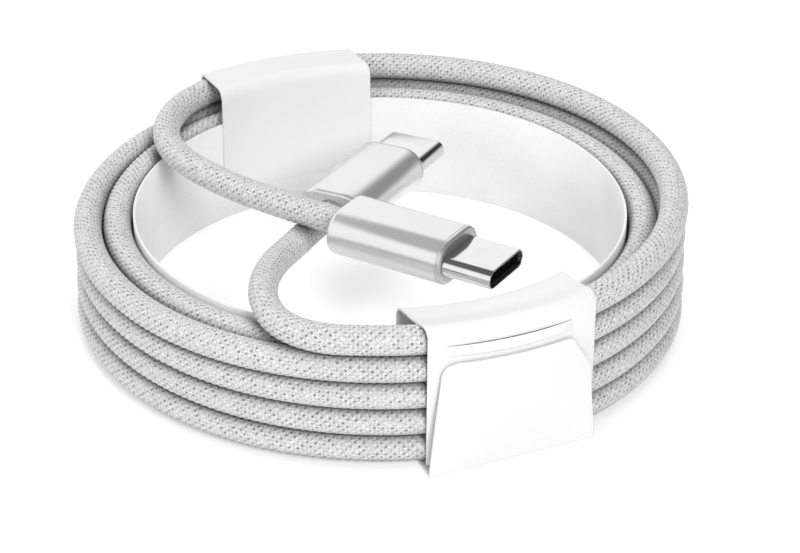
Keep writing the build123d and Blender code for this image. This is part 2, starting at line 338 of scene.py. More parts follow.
@dataclass(frozen=True)
class PulpCard:
    """White wood-pulp card: matt, with a faint fibre grain and soft mottle. Calendering makes it smoother."""

    name: str
    light: str = "#DEDEDD"
    dark: str = "#DADAD9"
    fibre: float = 0.35         # mm, the grain that shows
    mottle: float = 14.0        # mm, the clouds in the pulp
    roughness: float = 0.62
    relief: float = 0.012       # mm

    def make(self) -> bpy.types.Material:
        """Build the material."""
        material, tree, shader = new_material(self.name)
        position = add_node(tree, "TexCoord")
        fibres = add_node(tree, "TexNoise", {
            "Vector": position.outputs["Object"], "Scale": 1.0 / mm(self.fibre),
            "Detail": 3.0, "Roughness": 0.65,
        })
        clouds = add_node(tree, "TexNoise", {
            "Vector": position.outputs["Object"], "Scale": 1.0 / mm(self.mottle), "Detail": 2.0,
        })
        both = add_node(
            tree, "Math", {0: fibres.outputs["Fac"], 1: 0.5, 2: clouds.outputs["Fac"]},
            operation="MULTIPLY_ADD",
        )
        level = add_node(tree, "MapRange", {"Value": both, "From Min": 0.55, "From Max": 0.95})
        mix = add_node(tree, "Mix", {0: level, 6: colour(self.light), 7: colour(self.dark)}, data_type="RGBA")
        bump = add_node(
            tree, "Bump", {"Height": fibres.outputs["Fac"], "Strength": 0.5, "Distance": mm(self.relief)},
        )
        set_inputs(shader, {"Base Color": mix.outputs[2], "Normal": bump, "Roughness": self.roughness})
        return material


@dataclass(frozen=True)
class Moulding:
    """An injection-moulded plastic: a soft gloss over a very slight orange peel from the tool."""

    name: str
    light: str
    dark: str
    roughness: float = 0.28
    uneven: float = 0.04        # how far the roughness strays from place to place
    coat: float = 0.0
    peel: float = 1.2           # mm, the swell of the surface
    relief: float = 0.01        # mm
    ior: float = 1.46

    def make(self) -> bpy.types.Material:
        """Build the material."""
        material, tree, shader = new_material(self.name)
        position = add_node(tree, "TexCoord")
        swell = add_node(tree, "TexNoise", {
            "Vector": position.outputs["Object"], "Scale": 1.0 / mm(self.peel), "Detail": 1.0,
        }).outputs["Fac"]
        mix = add_node(tree, "Mix", {0: swell, 6: colour(self.light), 7: colour(self.dark)}, data_type="RGBA")
        rough = add_node(tree, "MapRange", {
            "Value": swell, "To Min": self.roughness - self.uneven, "To Max": self.roughness + self.uneven,
        })
        bump = add_node(tree, "Bump", {"Height": swell, "Strength": 0.15, "Distance": mm(self.relief)})
        set_inputs(shader, {
            "Base Color": mix.outputs[2], "Roughness": rough, "Normal": bump, "IOR": self.ior,
            "Coat Weight": self.coat, "Coat Roughness": 0.08,
        })
        return material


@dataclass(frozen=True)
class PearlLacquer:
    """Pearl lacquer sprayed over moulded polycarbonate: satin, half metallic, so it mirrors softly."""

    name: str
    light: str = "#DEDEDE"
    dark: str = "#DADADA"
    metallic: float = 0.68
    roughness: float = 0.24
    uneven: float = 0.03        # how far the roughness strays from place to place
    flake: float = 0.15         # mm, drawn coarser than the real flake, which is too fine to show

    def make(self) -> bpy.types.Material:
        """Build the material."""
        material, tree, shader = new_material(self.name)
        position = add_node(tree, "TexCoord")
        flake = add_node(tree, "TexNoise", {
            "Vector": position.outputs["Object"], "Scale": 1.0 / mm(self.flake), "Detail": 1.0,
        }).outputs["Fac"]
        mix = add_node(tree, "Mix", {0: flake, 6: colour(self.light), 7: colour(self.dark)}, data_type="RGBA")
        rough = add_node(tree, "MapRange", {
            "Value": flake, "To Min": self.roughness - self.uneven, "To Max": self.roughness + self.uneven,
        })
        set_inputs(shader, {"Base Color": mix.outputs[2], "Roughness": rough, "Metallic": self.metallic})
        return material


@dataclass(frozen=True)
class SheetMetal:
    """Rolled or drawn sheet metal: bright, with a fine grain that the tool leaves and faint staining."""

    name: str
    light: str
    dark: str
    roughness: float = 0.2
    uneven: float = 0.25        # share by which the roughness strays from place to place
    grain: float = 0.12         # mm
    stain: float = 3.0          # mm
    relief: float = 0.004       # mm

    def make(self) -> bpy.types.Material:
        """Build the material."""
        material, tree, shader = new_material(self.name)
        position = add_node(tree, "TexCoord")
        grain, stain = (
            add_node(tree, "TexNoise", {
                "Vector": position.outputs["Object"], "Scale": 1.0 / mm(size), "Detail": 2.0,
            }).outputs["Fac"]
            for size in (self.grain, self.stain)
        )
        mix = add_node(tree, "Mix", {0: stain, 6: colour(self.light), 7: colour(self.dark)}, data_type="RGBA")
        rough = add_node(tree, "MapRange", {
            "Value": grain,
            "To Min": self.roughness * (1 - self.uneven), "To Max": self.roughness * (1 + self.uneven),
        })
        bump = add_node(tree, "Bump", {"Height": grain, "Strength": 0.2, "Distance": mm(self.relief)})
        set_inputs(shader, {
            "Base Color": mix.outputs[2], "Roughness": rough, "Normal": bump, "Metallic": 1.0,
        })
        return material


# ---- camera ----------------------------------------------------------------------------------
@dataclass
class Camera:
    """A long lens that looks down on the ring from the front."""

    lens: float = 115.48
    elevation: float = 28.889      # degrees above the horizon
    distance: float = 312.03       # mm to the target
    target_height: float = 8.79    # mm
    roll: float = 0.202            # degrees
    shift_x: float = 0.0252
    shift_y: float = -0.0464

    def build(self) -> None:
        """Make the camera and set it as the scene's own."""
        lift = radians(self.elevation)
        data = bpy.data.cameras.new("camera")
        data.lens = self.lens
        data.sensor_width = 36.0
        data.shift_x, data.shift_y = self.shift_x, self.shift_y
        data.clip_start, data.clip_end = 0.01, 20.0
        camera = bpy.data.objects.new("camera", data)
        level = Matrix.Rotation(pi / 2 - lift, 4, "X")
        camera.matrix_world = (
            Matrix.Translation(mm_point((0.0, -self.distance * cos(lift),
                                         self.target_height + self.distance * sin(lift))))
            @ level @ Matrix.Rotation(radians(self.roll), 4, "Z")
        )
        bpy.context.scene.collection.objects.link(camera)
        bpy.context.scene.camera = camera


# ---- the cord --------------------------------------------------------------------------------
@dataclass
class Cord:
    """The braided cord, from one plug, round the ring and to the other plug."""

    diameter: float = 3.4
    outer_turn: float = 35.15
    inner_turn: float = 31.75
    base: float = 0.32             # underside of the lowest turn
    top_turn: float = 15.65        # centre height of the fifth level
    levels: int = 4
    tail_start: float = 124.0      # degrees, where the top turn leaves for the upper plug
    tail_end: float = -93.0
    step: float = 7.5              # degrees between points of a turn
    under: float = 0.75            # how far the last turn climbs before it moves outward
    change: float = 14.0           # degrees each side of the front wrap in which a turn changes level
    ring_gap: float = 0.47         # mm along the cord between rings of the tube
    sides: int = 24
    relief: float = 0.045          # mm, how far the diamonds of the braid stand out
    climb: float = 0.6             # share of a change of level in which the turn goes up or down
    stray_out: float = 0.14        # mm, how far a turn strays from its place, out and up
    stray_up: float = 0.05
    flat_below: float = 2.5        # mm, a turn under this rests on the card and doesn't stray up

    # The two stretches that leave the ring, from each plug back to it.
    upper_tail: tuple[Point, ...] = (
        (-4.05, -8.56, 15.65), (-12.93, -3.35, 15.65), (-21.5, 3.8, 15.65), (-26.2, 10.5, 15.65),
        (-27.2, 17.0, 15.65), (-25.6, 22.9, 15.65), (-22.31, 27.35, 15.65),
    )
    lower_tail: tuple[Point, ...] = (
        (-6.6, -34.85, 15.65), (-11.0, -32.0, 15.65), (-13.0, -27.0, 15.65), (-13.2, -20.8, 14.9),
        (-12.2, -14.2, 13.6), (-10.3, -8.2, 12.3), (-8.2, -3.4, 12.1), (-6.0, 0.47, 12.1),
    )

    def level(self, number: int) -> float:
        """Centre height of a level, counted from 1."""
        return self.top_turn if number > self.levels else self.base + (number - 0.5) * self.diameter

    def slots(self) -> list[tuple[float, float]]:
        """Radius and height of each place that the turns take, in the order that the cord takes them."""
        down = [(self.outer_turn, self.level(n)) for n in range(self.levels + 1, 0, -1)]
        up = [(self.inner_turn, self.level(n)) for n in range(1, self.levels + 1)]
        return down + up + [(self.outer_turn, self.top_turn)]

    def on_turns(self, unwound: float) -> Point:
        """The centre line on the ring.

        Args:
            unwound: Degrees since the cord met the ring.

        Returns:
            The point, in millimetres.
        """
        slots = self.slots()
        first = self.tail_start - Wrap.FRONT.value
        crossing = min(max(round((unwound - first) / 360.0), 0), len(slots) - 2)
        share = ((unwound - first - 360.0 * crossing) + self.change) / (2 * self.change)
        before, after = slots[crossing], slots[crossing + 1]
        lifted = smooth(share / self.climb)
        moved = lifted if crossing < len(slots) - 2 else smooth((share - 1.0 + self.climb) / self.climb)
        radius = before[0] + (after[0] - before[0]) * moved
        if crossing == len(slots) - 2:
            # The last turn comes up inside the one above it, and reaches full height as it goes over.
            lifted = self.under * lifted + (1.0 - self.under) * moved
        height = before[1] + (after[1] - before[1]) * lifted
        # Wound by hand: away from the wraps the turns stray a little, by uneven waves so that no two agree.
        angle = radians(self.tail_start - unwound)
        free = sin(angle - radians(Wrap.FRONT.value)) ** 2
        turn = unwound / 360.0
        radius += free * self.stray_out * sin(2.1 * turn + 1.3 * sin(2.0 * angle + turn))
        if height > self.flat_below:
            height += free * self.stray_up * sin(3.7 * turn + 2.0 * angle)
        # The smooth line touches the middle of each side of its polygon, so the corners stand further out.
        radius /= cos(radians(self.step / 2))
        return (radius * cos(angle), radius * sin(angle), height)

    def route(self) -> list[Point]:
        """Every control point of the cord's line, in millimetres."""
        whole = self.tail_start - self.tail_end + 360.0 * (len(self.slots()) - 2)
        count = round(whole / self.step)
        turns = [self.on_turns(whole * number / count) for number in range(count + 1)]
        return [*self.upper_tail, *turns, *self.lower_tail]

    def line(self) -> np.ndarray:
        """The smooth centre line, as close points in metres."""
        points = self.route()
        data = bpy.data.curves.new("cord_line", "CURVE")
        data.dimensions = "3D"
        data.resolution_u = 14
        spline = data.splines.new("NURBS")
        spline.points.add(len(points) - 1)
        for knot, point in zip(spline.points, points):
            knot.co = (*mm_point(point), 1.0)
        spline.order_u = 3
        spline.use_endpoint_u = True
        holder = bpy.data.objects.new("cord_line", data)
        bpy.context.scene.collection.objects.link(holder)
        graph = bpy.context.evaluated_depsgraph_get()
        mesh = bpy.data.meshes.new_from_object(holder.evaluated_get(graph))
        line = np.array([v.co for v in mesh.vertices], float)
        bpy.data.objects.remove(holder)
        bpy.data.meshes.remove(mesh)
        # The curve gives some points twice.
        apart = np.linalg.norm(np.diff(line, axis=0), axis=1) > 1e-9
        return line[np.r_[True, apart]]

    def build(self) -> tuple[bpy.types.Object, np.ndarray, float]:
        """Make the braided tube along the line.

        Returns:
            The tube, the line that it follows and its length in metres.
        """
        line = self.line()
        run = np.r_[0.0, np.cumsum(np.linalg.norm(np.diff(line, axis=0), axis=1))]
        length = float(run[-1])
        rings = int(length / mm(self.ring_gap))
        at = np.linspace(0.0, length, rings + 1)
        centres = np.stack([np.interp(at, run, line[:, axis]) for axis in range(3)], axis=1)
        tangents = np.gradient(centres, axis=0)
        tangents /= np.linalg.norm(tangents, axis=1, keepdims=True)
        up = np.array([0.0, 0.0, 1.0])
        side = np.cross(tangents, up)
        side /= np.linalg.norm(side, axis=1, keepdims=True)
        above = np.cross(side, tangents)
        turn = np.arange(self.sides) * 2 * pi / self.sides
        # Every other point of the mesh is raised, like the squares of a chessboard.
        squares = np.add.outer(np.arange(rings + 1), np.arange(self.sides)) % 2
        raised = np.where(squares == 0, 1.0, -1.0)
        raised[0] = raised[-1] = 0.0
        radius = mm(self.diameter / 2) + mm(self.relief) * (raised - 1.0)
        vertices = (
            centres[:, None, :]
            + (radius * np.cos(turn))[..., None] * side[:, None, :]
            + (radius * np.sin(turn))[..., None] * above[:, None, :]
        ).reshape(-1, 3)
        n = self.sides
        faces = tube_faces(rings + 1, n, closed=False)
        faces += [tuple(range(n - 1, -1, -1)), tuple(rings * n + j for j in range(n))]
        tube = add_mesh("cord", vertices.tolist(), faces)
        # A unit of UV is one ring and one side, so the colour falls on the raised diamonds.
        uv = np.zeros((len(tube.data.loops), 2))
        i, j = np.divmod(np.arange(rings * n), n)
        corners = [(i, j), (i, j + 1), (i + 1, j + 1), (i + 1, j)]
        uv[:rings * n * 4] = np.stack([np.stack(corner, 1) for corner in corners], axis=1).reshape(-1, 2)
        tube.data.uv_layers.new(name="UVMap").data.foreach_set("uv", uv.ravel())
        return tube, line, length


# ---- the paper -------------------------------------------------------------------------------
class Stretch(Enum):
    """The stretches of the base strap, from its inner end to the tongue's tip."""

    FLANGE = "stands between the band and the cord"
    BASE = "lies under the ring"
    BEND = "turns up outside"
    TONGUE = "lies on the outer panel"


@dataclass(frozen=True)
class TongueSide:
    """One long side of the tongue: it keeps its foot's distance up to a knee, then slants in to the tip."""

    foot: float                    # distance from the tongue's middle, mm
    knee: float                    # height at which it starts to slant in, mm
    corner: float                  # radius at the tip, mm
    shoulder: float = 0.4          # share of that radius by which the corner starts wider than the tip

    def reach(self, height: float, top: float, tip: float) -> float:
        """How far out this side is.

        Args:
            height: Above the table, in millimetres.
            top: The height of the tongue's tip.
            tip: Half the tip's width.

        Returns:
            The distance from the tongue's middle.
        """
        if height < self.knee:
            return self.foot
        corner_start = top - self.corner
        slanted = min((height - self.knee) / (corner_start - self.knee), 1.0)
        over = max(height - corner_start, 0.0)
        rounded_off = self.corner - sqrt(max(self.corner ** 2 - over ** 2, 0.0))
        return self.foot + (tip + self.shoulder * self.corner - self.foot) * slanted - rounded_off


@dataclass
class PaperWrap:
    """One folded wrap: a strap over the top with two slits, and a strap below with a tongue."""

    wrap: Wrap
    crease: float                  # height of the inner crease
    sag: float                     # how far the top dips between the two columns
    stiff: float = 0.35            # share of the sag that the strap's long edges don't take
    paper: float = 0.3
    edge: float = 0.06             # rounding of the cut edges
    width: float = 20.4
    inner: float = 29.09           # inner face of the inner panel
    outer: float = 37.25           # outer face of the outer panel
    top: float = 18.15             # at the outer edge, before the corner is taken off
    inner_corner: float = 1.3      # radii of the two creases over the ring
    corner: float = 1.15
    inner_low: float = 3.3
    outer_low: float = 0.6
    shift: float = 0.0             # of the slits and the tongue's tip, across the wrap
    slit_low: float = 14.45
    slit_high: float = 15.75
    slit_length: float = 15.0
    slit_gap: float = 0.05
    loop_edge: float = 0.22        # how far the loop of card stands out at the slits
    loop_middle: float = 0.38      # and how much further half way between them
    loop_ends: float = 0.4         # power of the loop's curve along the slits: low for blunt ends
    flange: float = 30.03
    flange_high: float = 9.0
    fold: float = 37.7             # outer face of the tongue at its fold
    bend: float = 0.32             # radius of the fold
    tongue_high: float = 13.7
    tongue_tip: float = 15.2
    sides: tuple[TongueSide, TongueSide] = (
        TongueSide(foot=10.6, knee=0.7, corner=1.9), TongueSide(foot=9.8, knee=9.6, corner=0.9),
    )
    top_columns: int = 60          # of the meshes, across the wrap
    base_columns: int = 48

    @property
    def name(self) -> str:
        """The wrap's name, as the CAD nodes have it."""
        return self.wrap.name.lower()

    def turn(self) -> Matrix:
        """From the wrap's own frame, where its middle is on +X, to the object's."""
        return Matrix.Rotation(radians(self.wrap.value), 4, "Z")

    def in_slit(self, above: Point, below: Point, beside: Point) -> bool:
        """Whether a face is one of a slit's.

        Args:
            above: The face's upper corner in its own column, in millimetres.
            below: The corner under that.
            beside: The upper corner in the next column.

        Returns:
            True if the card is cut away there.
        """
        outside = hypot(above[0], above[1]) > (self.inner + self.outer) / 2
        along = abs((above[1] + beside[1]) / 2 - self.shift) < self.slit_length / 2
        reach = self.slit_gap / 2 + 0.001
        return outside and along and any(
            below[2] >= slit - reach and above[2] <= slit + reach for slit in (self.slit_low, self.slit_high)
        )

    def sheet(self, name: str, columns: list[list[Point]], card: bpy.types.Material) -> bpy.types.Object:
        """Make a sheet of card through columns of points, and turn it to its place.

        Args:
            name: The piece's name.
            columns: Columns across the wrap, each with the same number of points, in millimetres.
            card: Its material.

        Returns:
            The piece, with the card's thickness and rounded edges.
        """
        size = len(columns[0])
        faces = []
        for n, (column, beside) in enumerate(zip(columns, columns[1:])):
            for row in range(size - 1):
                if not self.in_slit(column[row], column[row + 1], beside[row]):
                    here = n * size + row
                    faces.append((here, here + 1, here + size + 1, here + size))
        vertices = [tuple(mm(c) for c in point) for column in columns for point in column]
        piece = add_mesh(name, vertices, faces)
        thick = piece.modifiers.new("card", "SOLIDIFY")
        thick.thickness = mm(self.paper)
        thick.offset = 0.0
        thick.use_even_offset = True
        edge = piece.modifiers.new("edge", "BEVEL")
        edge.width = mm(self.edge)
        edge.segments = 2
        edge.limit_method = "ANGLE"
        edge.angle_limit = radians(50.0)
        apply_modifiers(piece)
        piece.data.transform(self.turn())
        dress(piece, card)
        return piece

    def strap_line(self, across: float) -> list[tuple[float, float]]:
        """The top strap's section, along the middle of the card, down to the outer panel.

        Args:
            across: Where the section is, from -1 at one edge of the strap to 1 at the other.

        Returns:
            Radius and height, point by point, from the foot of the inner panel to below the outer corner.
        """
        panel_steps, inner_steps, top_steps, corner_steps = 14, 8, 14, 10
        inner, outer = self.inner + self.paper / 2, self.outer - self.paper / 2
        slope = (self.top - self.crease) / (outer - inner)
        bend = self.inner_corner
        rise = self.crease - bend - self.inner_low
        line = [(inner, self.inner_low + rise * n / panel_steps) for n in range(panel_steps)]
        line += arc(inner + bend, self.crease - bend, bend, pi, pi / 2, inner_steps)
        start = line[-1]
        end = outer - self.corner
        for n in range(1, top_steps):
            share = n / top_steps
            x = start[0] + (end - start[0]) * share
            dip = self.sag * sin(pi * share) ** 2 * (1.0 - self.stiff * across * across)
            line.append((x, start[1] + slope * (x - start[0]) - dip))
        crest = start[1] + slope * (end - start[0])
        return line + arc(end, crest - self.corner, self.corner, pi / 2, 0.0, corner_steps)

    def outer_rows(self) -> list[float]:
        """Heights of the mesh rows down the outer panel, with a row at each edge of a slit."""
        half = self.slit_gap / 2
        rows = [self.slit_high + half, self.slit_high - half]
        rows += list(np.linspace(self.slit_high - half, self.slit_low + half, 9)[1:-1])
        rows += [self.slit_low + half, self.slit_low - half]
        rows += list(np.linspace(self.slit_low - half, self.outer_low, 22)[1:])
        return [float(z) for z in rows]

    def bulge(self, t: float, height: float) -> float:
        """How far the card stands out, in millimetres: only the loop between the slits does."""
        t -= self.shift
        if not (self.slit_low < height < self.slit_high and abs(t) < self.slit_length / 2):
            return 0.0
        share = (height - self.slit_low) / (self.slit_high - self.slit_low)
        along = cos(pi * t / self.slit_length) ** self.loop_ends
        return (self.loop_edge + self.loop_middle * sin(pi * share)) * along

    def build_top_strap(self, card: bpy.types.Material) -> None:
        """The strap over the top, with the loop of card between its two slits pressed outward."""
        row_gap = 0.05             # the least height of a row of the mesh under the corner
        columns = []
        for n in range(self.top_columns + 1):
            across = -1.0 + 2.0 * n / self.top_columns
            t = across * self.width / 2
            line = self.strap_line(across)
            foot = line[-1]
            line += [(foot[0] + self.bulge(t, z), z) for z in self.outer_rows() if z < foot[1] - row_gap]
            # Both panels are curved with the ring.
            columns.append([(sqrt(max(radius * radius - t * t, 0.0)), t, z) for radius, z in line])
        strap = self.sheet(f"{self.name}_top_strap_sheet", columns, card)
        place(strap, "root", Slot.WRAP, f"{self.name}_top_strap")

    def base_path(self) -> list[tuple[Stretch, float, float]]:
        """The base strap's section, along the middle of the card.

        Returns:
            For each point its stretch, how far outward it is in that (a share of the base, or millimetres
            on the bend), and its height.
        """
        low = self.paper / 2
        path = [(Stretch.FLANGE, 0.0, z) for z in (*np.linspace(self.flange_high, 0.5, 12), 0.26)]
        path += [(Stretch.BASE, share, low) for share in np.linspace(0.03, 1.0, 16)]
        path += [(Stretch.BEND, *point) for point in arc(0.0, low + self.bend, self.bend, -pi / 2, 0.0, 5)[1:]]
        path += [(Stretch.TONGUE, 0.0, z) for z in np.linspace(0.75, self.tongue_high, 34)]
        return path

    def base_point(self, across: float, stretch: Stretch, outward: float, height: float) -> Point:
        """A point of the base strap, in millimetres.

        Args:
            across: From -1 at one edge of the strap to 1 at the other.
            stretch: The stretch that it is on.
            outward: How far it has come outward in that, as in base_path.
            height: Above the table.

        Returns:
            The point, in the wrap's own frame.
        """
        side = self.sides[across > 0]
        t = across * self.width / 2
        inner = sqrt((self.flange - self.paper / 2) ** 2 - t * t)
        outer = self.fold - self.paper / 2
        if stretch is Stretch.FLANGE:
            return (inner, t, height)
        if stretch is Stretch.BASE:
            t += (across * side.foot - t) * outward
            return (inner + (outer - self.bend - inner) * outward, t, height)
        # The fold is straight, and the tongue takes on the ring's curve as it rises.
        rise = height / self.tongue_high
        reach = side.foot
        if stretch is Stretch.TONGUE:
            reach = side.reach(height, self.tongue_high, self.tongue_tip / 2)
        t = across * reach + self.shift * rise
        x = outer + (sqrt(outer ** 2 - t * t) - outer) * rise
        if stretch is Stretch.BEND:
            x += outward - self.bend
        return (x, t, height)

    def build_base_strap(self, card: bpy.types.Material) -> None:
        """The strap below and its tongue, folded from one sheet."""
        path = self.base_path()
        columns = [
            [self.base_point(-1.0 + 2.0 * n / self.base_columns, *step) for step in path]
            for n in range(self.base_columns + 1)
        ]
        strap = self.sheet(f"{self.name}_base_strap_sheet", columns, card)
        f"{self.name}_tongue"
        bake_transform(strap)
        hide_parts(f"{self.name}_base_strap", f"{self.name}_tongue")
        faces = len(strap.data.polygons)
        log.info("%s: %d faces, bends from root to %s_tongue", strap.name, faces, self.name)


@dataclass
class RingBand:
    """The strip of card that lines the ring's inside."""

    outer: float = 29.71
    paper: float = 0.3
    low: float = 0.08
    high: float = 13.65
    ease: float = 0.05             # how far the cut edges are eased
    segments: int = 240

    def build(self, card: bpy.types.Material) -> None:
        """Make the band."""
        inner, outer = self.outer - self.paper, self.outer
        section = [
            (inner, self.low + self.ease), (inner, self.high - self.ease), (inner + self.ease, self.high),
            (outer - self.ease, self.high), (outer, self.high - self.ease), (outer, self.low + self.ease),
            (outer - self.ease, self.low), (inner + self.ease, self.low),
        ]
        vertices = []
        for n in range(self.segments):
            angle = 2 * pi * n / self.segments
            vertices += [(mm(r * cos(angle)), mm(r * sin(angle)), mm(z)) for r, z in section]
        faces = [face[::-1] for face in tube_faces(self.segments, len(section), closed=True)]
        band = add_mesh("ring_band_strip", vertices, faces, smooth_faces=False)
        # Only the two broad sides are smooth, and their faces are the large ones.
        broad = mm(1.0) * mm(0.2)
        for face in band.data.polygons:
            face.use_smooth = face.area > broad
        dress(band, card)
        place(band, "root", Slot.BAND, "ring_band")


# ---- the plugs -------------------------------------------------------------------------------
@dataclass
class Plug:
    """One plug: a hollow moulded body, the cap round its front and a drawn shell, about its own axis."""

    name: str
    rear: Point                    # middle of the rear face
    yaw: float                     # degrees
    roll: float
    width: float = 9.3
    thick: float = 5.6
    length: float = 14.6
    wall: float = 0.4
    rear_wall: float = 1.6
    rear_edge: float = 0.6
    cord_hole: float = 3.44
    hole_lip: float = 0.08         # how far the hole opens out at the rear face
    hole_lip_depth: float = 0.12
    cap_length: float = 0.6
    cap_edge: float = 0.38
    spigot: float = 1.4            # how far the cap reaches into the body
    dish: float = 0.14             # depth of the cap's face at the shell, and at the rim round that
    dish_rim: float = 0.06
    dish_wide: float = 0.10        # how much wider and thicker the rim is than the opening
    dish_thick: float = 0.9
    fit: float = 0.04              # room across for one part in another
    seam: float = 0.02
    seam_edge: float = 0.03
    shell_width: float = 8.25
    shell_thick: float = 2.4
    shell_wall: float = 0.2
    shell_rear: float = 9.0
    shell_out: float = 6.2
    arc_points: int = 44           # round each end of the oval
    flat_points: int = 8           # along each straight side
    sharp: float = 42.0            # degrees, from which an edge is drawn sharp

    def seat(self) -> Matrix:
        """From the plug's own frame, with Z along its axis, X across and Y up, to the object's."""
        yaw, roll = radians(self.yaw), radians(self.roll)
        axis = Vector((cos(yaw), sin(yaw), 0.0))
        level = Vector((-sin(yaw), cos(yaw), 0.0))
        across = level * cos(roll) + axis.cross(level) * sin(roll)
        turn = Matrix((across, axis.cross(across), axis)).transposed().to_4x4()
        return Matrix.Translation(mm_point(self.rear)) @ turn

    def oval(self, along: float, width: float, thick: float) -> list[Point]:
        """One ring of points: two half circles joined by straight sides."""
        radius, reach = thick / 2, (width - thick) / 2
        end = arc(reach, 0.0, radius, -pi / 2, pi / 2, self.arc_points - 1)
        ring = []
        for side in (1, -1):
            ring += [(side * x, side * y, along) for x, y in end]
            for n in range(1, self.flat_points):
                share = 1 - 2 * n / self.flat_points
                ring.append((side * reach * share, side * radius, along))
        return ring

    def skin(
        self, part: str, sections: list[tuple[float, float, float]], finish: bpy.types.Material,
        slot: Slot, node: str,
    ) -> None:
        """Make a piece as a closed skin through ovals, the last joined to the first.

        Args:
            part: The piece's name without the plug's.
            sections: Place along the axis, width and thickness of each oval, in millimetres.
            finish: Its material.
            slot: Its finish slot, which is not used.
            node: The CAD node that it stands for, without the plug's name.
        """
        rings = [self.oval(*section) for section in sections]
        vertices = [mm_point(point) for ring in rings for point in ring]
        piece = add_mesh(f"{self.name}_{part}", vertices, tube_faces(len(rings), len(rings[0]), closed=True))
        piece.data.set_sharp_from_angle(angle=radians(self.sharp))
        piece.data.transform(self.seat())
        dress(piece, finish)
        place(piece, "root", slot, f"{self.name}_{node}")

    @staticmethod
    def rounded(
        along: float, width: float, thick: float, radius: float, forward: bool, steps: int = 7
    ) -> list[tuple[float, float, float]]:
        """Ovals round an edge.

        Args:
            along: Where the face that the edge belongs to is, along the axis.
            width: Of the full oval.
            thick: Of the full oval.
            radius: Of the edge.
            forward: Whether the face looks forward, so that the ovals run from the side to it.
            steps: How many faces the edge has.

        Returns:
            Place along the axis, width and thickness of each oval.
        """
        ovals = []
        for n in range(steps + 1):
            angle = pi / 2 * n / steps
            inset = radius * (1 - sin(angle))
            depth = radius * (1 - cos(angle))
            ovals.append((along - depth if forward else along + depth, width - 2 * inset, thick - 2 * inset))
        return ovals[::-1] if forward else ovals

    def build_body(self, finish: bpy.types.Material) -> None:
        """The moulded body, hollow, with the cord's hole in its rear wall."""
        inside = (self.width - 2 * self.wall, self.thick - 2 * self.wall)
        # A hair wider than thick, since an oval needs some length of straight side.
        hole = (self.cord_hole + 0.02, self.cord_hole)
        mouth = [size + 2 * self.hole_lip for size in hole]
        sections = [
            (self.rear_wall, *hole), (self.hole_lip_depth, *hole), (0.0, *mouth),
            *self.rounded(0.0, self.width, self.thick, self.rear_edge, forward=False),
            *self.rounded(self.length, self.width, self.thick, self.seam_edge, forward=True, steps=3),
            (self.length, *inside), (self.rear_wall, *inside),
        ]
        self.skin("moulded_body", sections, finish, Slot.MOULDING, "body")

    def build_cap(self, finish: bpy.types.Material) -> None:
        """The cap that closes the body's front, with its face a little dished towards the shell."""
        back = self.length + self.seam
        front = back + self.cap_length
        spigot = (self.width - 2 * self.wall - self.fit, self.thick - 2 * self.wall - self.fit)
        opening = (self.shell_width + self.fit, self.shell_thick + self.fit)
        sections = [
            *self.rounded(back, self.width, self.thick, self.seam_edge, forward=False, steps=3),
            *self.rounded(front, self.width, self.thick, self.cap_edge, forward=True),
            (front - self.dish_rim, opening[0] + self.dish_wide, opening[1] + self.dish_thick),
            (front - self.dish, *opening),
            (back - self.spigot, *opening), (back - self.spigot, *spigot), (back, *spigot),
        ]
        self.skin("front_cap", sections, finish, Slot.COLLAR, "collar")

    def build_shell(self, finish: bpy.types.Material) -> None:
        """The drawn steel shell, with a rolled lip at its mouth."""
        mouth = self.length + self.seam + self.cap_length + self.shell_out
        lip = self.shell_wall / 2
        inner = (self.shell_width - 2 * self.shell_wall, self.shell_thick - 2 * self.shell_wall)
        rolled, lip_steps = [], 8
        for n in range(lip_steps + 1):
            angle = pi * n / lip_steps
            inset = lip * (1 - cos(angle))
            rolled.append((
                mouth - lip + lip * sin(angle), self.shell_width - 2 * inset, self.shell_thick - 2 * inset,
            ))
        sections = [(self.shell_rear, self.shell_width, self.shell_thick), *rolled, (self.shell_rear, *inner)]
        self.skin("drawn_shell", sections, finish, Slot.STEEL, "shell")


# ---- the studio ------------------------------------------------------------------------------
@dataclass(frozen=True)
class SoftLight:
    """One square soft light: where it hangs, its side in millimetres and its power in watts."""

    name: str
    azimuth: float
    elevation: float
    size: float
    power: float
    distance: float = 600.0


